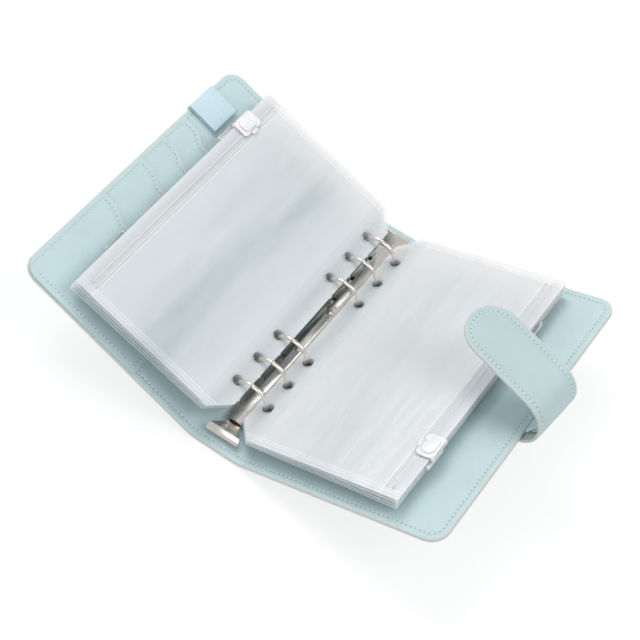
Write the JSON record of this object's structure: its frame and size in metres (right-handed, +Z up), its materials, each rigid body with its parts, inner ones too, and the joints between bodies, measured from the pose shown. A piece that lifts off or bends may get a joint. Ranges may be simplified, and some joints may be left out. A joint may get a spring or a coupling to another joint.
{
  "type": "ring-bound cash envelope wallet",
  "caption": "Soft-covered ring wallet lying open on its spine, with zipped clear envelopes on the rings, card slots, a pen loop and a closing strap.",
  "frame": {"origin": "middle of the spine's underside, on the table", "axes": "+Z up, +X from the front cover towards the back cover, +Y along the spine towards its far end"},
  "size_m": [0.2757, 0.19, 0.0773],
  "materials": {
    "pu_leather": "grained",
    "board": "plain",
    "elastic": "ribbed",
    "slider_plastic": "milky",
    "film": "frosted",
    "nickel_steel": "polished"
  },
  "bodies": {
    "spine": {"ring_shield": "nickel_steel", "rivet_1": "nickel_steel", "rivet_2": "nickel_steel", "spine_board": "board", "spine_lining": "pu_leather", "spine_skin": "pu_leather"},
    "front_cover": {"card_slot_1": "pu_leather", "card_slot_2": "pu_leather", "card_slot_3": "pu_leather", "front_board": "board", "front_lining": "pu_leather", "front_skin": "pu_leather", "inner_pocket": "pu_leather", "pen_loop": "elastic"},
    "back_cover": {"back_board": "board", "back_lining": "pu_leather", "back_skin": "pu_leather", "closing_strap": "pu_leather", "edge_loop": "elastic"},
    "left_rail_body": {"left_rail": "nickel_steel", "left_half_ring_1": "nickel_steel", "left_half_ring_2": "nickel_steel", "left_half_ring_3": "nickel_steel", "left_half_ring_4": "nickel_steel", "left_half_ring_5": "nickel_steel", "left_half_ring_6": "nickel_steel"},
    "right_rail_body": {"right_rail": "nickel_steel", "right_half_ring_1": "nickel_steel", "right_half_ring_2": "nickel_steel", "right_half_ring_3": "nickel_steel", "right_half_ring_4": "nickel_steel", "right_half_ring_5": "nickel_steel", "right_half_ring_6": "nickel_steel"},
    "near_lever_body": {"near_lever": "nickel_steel"},
    "far_lever_body": {"far_lever": "nickel_steel"},
    "left_leaves": {"left_envelope_1": "film", "left_envelope_2": "film", "left_envelope_3": "film", "left_envelope_4": "film"},
    "right_leaves": {"right_envelope_1": "film", "right_envelope_2": "film", "right_envelope_3": "film", "right_envelope_4": "film"},
    "left_slider_1": {"left_zip_slider_1": "slider_plastic"},
    "left_slider_2": {"left_zip_slider_2": "slider_plastic"},
    "left_slider_3": {"left_zip_slider_3": "slider_plastic"},
    "left_slider_4": {"left_zip_slider_4": "slider_plastic"},
    "right_slider_1": {"right_zip_slider_1": "slider_plastic"},
    "right_slider_2": {"right_zip_slider_2": "slider_plastic"},
    "right_slider_3": {"right_zip_slider_3": "slider_plastic"},
    "right_slider_4": {"right_zip_slider_4": "slider_plastic"}
  },
  "joints": [
    {"name": "front_hinge", "type": "hinge", "parent": "spine", "child": "front_cover", "pos_m": [-0.015, 0, 0.00155], "axis": [0, 1, 0], "range_deg": [-22, 40]},
    {"name": "back_hinge", "type": "hinge", "parent": "spine", "child": "back_cover", "pos_m": [0.015, 0, 0.00155], "axis": [0, -1, 0], "range_deg": [-12, 60]},
    {"name": "left_leaves_turn", "type": "hinge", "parent": "spine", "child": "left_leaves", "pos_m": [0, 0, 0.0144], "axis": [0, 1, 0], "range_deg": [-20.9, 38]},
    {"name": "right_leaves_turn", "type": "hinge", "parent": "spine", "child": "right_leaves", "pos_m": [0, 0, 0.0144], "axis": [0, -1, 0], "range_deg": [-11.82, 59.1]},
    {"name": "ring_opening", "type": "hinge", "parent": "spine", "child": "left_rail_body", "pos_m": [-0.006, 0, 0.004], "axis": [0, -1, 0], "range_deg": [0, 10]},
    {"name": "right_rail_turn", "type": "hinge", "parent": "spine", "child": "right_rail_body", "pos_m": [0.006, 0, 0.004], "axis": [0, 1, 0], "range_deg": [0, 10]},
    {"name": "near_lever_press", "type": "hinge", "parent": "spine", "child": "near_lever_body", "pos_m": [0, -0.073, 0.0046], "axis": [1, 0, 0], "range_deg": [0, 8]},
    {"name": "far_lever_press", "type": "hinge", "parent": "spine", "child": "far_lever_body", "pos_m": [0, 0.073, 0.0046], "axis": [-1, 0, 0], "range_deg": [0, 8]},
    {"name": "left_zip_1", "type": "slide", "parent": "left_leaves", "child": "left_slider_1", "axis": [0, 1, 0], "range_m": [-0.027, 0.123]},
    {"name": "left_zip_2", "type": "slide", "parent": "left_leaves", "child": "left_slider_2", "axis": [0, 1, 0], "range_m": [-0.131, 0.019]},
    {"name": "left_zip_3", "type": "slide", "parent": "left_leaves", "child": "left_slider_3", "axis": [0, 1, 0], "range_m": [-0.125, 0.025]},
    {"name": "left_zip_4", "type": "slide", "parent": "left_leaves", "child": "left_slider_4", "axis": [0, 1, 0], "range_m": [-0.136, 0.014]},
    {"name": "right_zip_1", "type": "slide", "parent": "right_leaves", "child": "right_slider_1", "axis": [0, 1, 0], "range_m": [-0.105, 0.045]},
    {"name": "right_zip_2", "type": "slide", "parent": "right_leaves", "child": "right_slider_2", "axis": [0, 1, 0], "range_m": [-0.126, 0.024]},
    {"name": "right_zip_3", "type": "slide", "parent": "right_leaves", "child": "right_slider_3", "axis": [0, 1, 0], "range_m": [-0.021, 0.129]},
    {"name": "right_zip_4", "type": "slide", "parent": "right_leaves", "child": "right_slider_4", "axis": [0, 1, 0], "range_m": [-0.025, 0.125]}
  ],
  "couplings": [
    {"joint": "left_leaves_turn", "follows": "front_hinge", "ratio": 0.95},
    {"joint": "right_leaves_turn", "follows": "back_hinge", "ratio": 0.985},
    {"joint": "right_rail_turn", "follows": "ring_opening", "ratio": 1},
    {"joint": "near_lever_press", "follows": "ring_opening", "ratio": 0.8},
    {"joint": "far_lever_press", "follows": "ring_opening", "ratio": 0.8}
  ]
}
